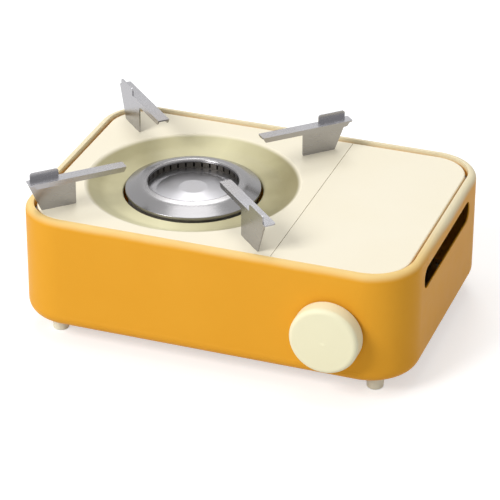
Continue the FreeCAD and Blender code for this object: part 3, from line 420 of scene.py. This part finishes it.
# metals: heat tint only on those near the flame, full up to near and gone at far
strawShares = (0.9, 0.74, 0.5)  # what heat leaves of the metal's red, green and blue
castAndHot = {
    "stretch": (300, 300, 300), "roughness": 0.5, "spread": 0.25, "bump": 0.00003,
    "heat": 0.7, "near": 0.03, "far": 0.06,
}
metals = {
    "supportSteel": {
        "nodes": ["pot_support_front_left", "pot_support_front_right", "pot_support_back_left",
                  "pot_support_back_right"],
        "colour": (0.39, 0.385, 0.4), "stretch": (120, 120, 900),
        "roughness": 0.26, "spread": 0.1, "bump": 0.000002,
        "heat": 0.5, "near": 0.05, "far": 0.1,
    },
    "ringSteel": {
        "nodes": ["burner_ring"],
        "colour": (0.28, 0.275, 0.28), "stretch": (160, 160, 2600),
        "roughness": 0.24, "spread": 0.12, "bump": 0.000004,
        "heat": 0.12, "near": 0.032, "far": 0.052,
    },
    "dishSteel": {
        "nodes": ["burner_dish"],
        "colour": (0.365, 0.36, 0.375), "stretch": (500, 500, 160),
        "roughness": 0.34, "spread": 0.16, "bump": 0.000004,
        "heat": 0.12, "near": 0.0, "far": 0.03,
    },
    "burnerMetal": {
        **castAndHot, "nodes": ["burner_body", "mixing_tube", "jet_carrier"],
        "colour": (0.36, 0.35, 0.34),
    },
    # very dark: painted shade for the shadowed inner wall of the burner ring
    "shadedPortMetal": {
        **castAndHot, "nodes": ["flame_port_ring"],
        "colour": (0.1, 0.096, 0.09),
    },
    "galvanised": {
        "nodes": ["base_plate", "ledge_frame", "heat_shield", "burner_stand", "regulator_bracket",
                  "cartridge_cradle", "electrode_bracket"],
        "colour": (0.5, 0.51, 0.52), "stretch": (120, 120, 120),
        "roughness": 0.42, "spread": 0.3, "bump": 0.00001,
    },
    "turnedBrass": {
        "nodes": ["gas_jet", "receiver_nozzle"],
        "colour": (0.72, 0.5, 0.2), "stretch": (600, 1800, 600),
        "roughness": 0.28, "spread": 0.2, "bump": 0.000008,
    },
    "pipeMetal": {
        "nodes": ["gas_pipe"],
        "colour": (0.66, 0.66, 0.67), "stretch": (400, 400, 400),
        "roughness": 0.35, "spread": 0.2, "bump": 0.00001,
    },
    "castZinc": {
        "nodes": ["regulator_body", "regulator_cap"],
        "colour": (0.45, 0.45, 0.46), "stretch": (700, 700, 700),
        "roughness": 0.5, "spread": 0.2, "bump": 0.00003,
    },
    "platedSteel": {
        "nodes": ["foot_screws", "foot_nuts", "base_screws", "stand_screws", "cover_hinge_pins",
                  "knob_shaft", "electrode_wire"],
        "colour": (0.6, 0.6, 0.61), "stretch": (900, 900, 900),
        "roughness": 0.3, "spread": 0.2, "bump": 0.00001,
    },
}


def makeMetal(name, f):
    material, tree, shader = newMaterial(name)
    colour = opaque(f["colour"])
    if "heat" in f:
        straw = opaque(part * share for part, share in zip(f["colour"], strawShares))
        colour = placeGroup(tree, heatGroup, {
            "Colour": colour, "Straw": straw, "Centre": burnerMiddle,
            "Near": f["near"], "Far": f["far"], "Amount": f["heat"],
        })["Colour"]
    brush = placeGroup(tree, brushGroup, {
        "Stretch": f["stretch"], "Roughness": f["roughness"], "Roughness Spread": f["spread"],
    })
    feedAll(tree, shader, {"Base Color": colour, "Roughness": brush["Roughness"], "Metallic": 1.0})
    addBump(tree, shader, brush["Height"], f["bump"])
    return material


dress(metals, makeMetal)
print("finishes put on the nodes")


# studio: plain pale floor, backdrop colour from the world, soft lamps
studio = {
    "floorSize": 12.0,
    "floorTone": 0.68,
    "floorGrain": 0.01,       # how far the tone varies to either side
    "grainScale": 40, "grainDetail": 2,
    "floorRoughness": 0.9,
    "floorSpecular": 0.1,
    "floorGlow": 0.53,        # lifts the paper towards white, with its shadow
    "worldStrength": 0.4,     # what lights the stove
    "backdropStrength": 1.0,  # what is seen behind it
    "lampAim": (0, 0, 0.06),
    "lamps": [
        {"name": "keyLamp", "place": (-1.5, -2.45, 2.3), "size": 1.6, "power": 80},
        {"name": "backLamp", "place": (-0.9, 2.3, 2.9), "size": 1.4, "power": 22},
        {"name": "topLamp", "place": (-0.2, 0.4, 3.0), "size": 1.8, "power": 18},
    ],
}


def seenByViewer(tree):
    # 1 for what the camera sees straight, in a reflection or through glass
    rays = addNode(tree, "ShaderNodeLightPath").outputs
    straight = calculate(tree, "MAXIMUM", rays["Is Camera Ray"], rays["Is Glossy Ray"])
    return calculate(tree, "MAXIMUM", straight, rays["Is Transmission Ray"])


def makeFloor(s):
    half = s["floorSize"] / 2
    corners = [(-half, -half, 0), (half, -half, 0), (half, half, 0), (-half, half, 0)]
    mesh = bpy.data.meshes.new("floor")
    mesh.from_pydata(corners, [], [(0, 1, 2, 3)])
    floor = addObject("floor", mesh)
    material, tree, shader = newMaterial("floorPaper")
    grain = noiseAt(tree, objectPlace(tree), s["grainScale"], s["grainDetail"])
    tone = remap(tree, grain, 0, 1, fromLow=s["floorTone"] - s["floorGrain"],
                 fromHigh=s["floorTone"] + s["floorGrain"])
    feedAll(tree, shader, {
        "Base Color": tone, "Roughness": s["floorRoughness"], "Specular IOR Level": s["floorSpecular"],
    })
    emission = addNode(tree, "ShaderNodeEmission")
    feed(tree, emission.inputs["Strength"], calculate(tree, "MULTIPLY", seenByViewer(tree), s["floorGlow"]))
    both = addNode(tree, "ShaderNodeAddShader")
    feed(tree, both.inputs[0], shader.outputs["BSDF"])
    feed(tree, both.inputs[1], emission.outputs["Emission"])
    feed(tree, tree.nodes["Material Output"].inputs["Surface"], both.outputs["Shader"])
    mesh.materials.append(material)


def makeWorld(s):
    world = bpy.data.worlds.new("studio")
    bpy.context.scene.world = world
    world.use_nodes = True
    tree = world.node_tree
    tree.nodes.clear()
    mix = addNode(tree, "ShaderNodeMixShader")
    feed(tree, mix.inputs["Fac"], seenByViewer(tree))
    for socket, strength in zip(mix.inputs[1:], (s["worldStrength"], s["backdropStrength"])):
        light = addNode(tree, "ShaderNodeBackground")
        feedAll(tree, light, {"Color": (1, 1, 1, 1), "Strength": strength})
        feed(tree, socket, light.outputs["Background"])
    output = addNode(tree, "ShaderNodeOutputWorld")
    feed(tree, output.inputs["Surface"], mix.outputs["Shader"])


def makeLamps(s):
    aim = Vector(s["lampAim"])
    for lamp in s["lamps"]:
        data = bpy.data.lights.new(lamp["name"], "AREA")
        data.shape = "DISK"
        data.size = lamp["size"]
        data.energy = lamp["power"]
        light = addObject(lamp["name"], data)
        light.location = lamp["place"]
        light.rotation_euler = (aim - light.location).to_track_quat("-Z", "Y").to_euler()


makeFloor(studio)
makeWorld(studio)
makeLamps(studio)
bpy.context.scene.view_settings.view_transform = "Standard"
print("studio built")
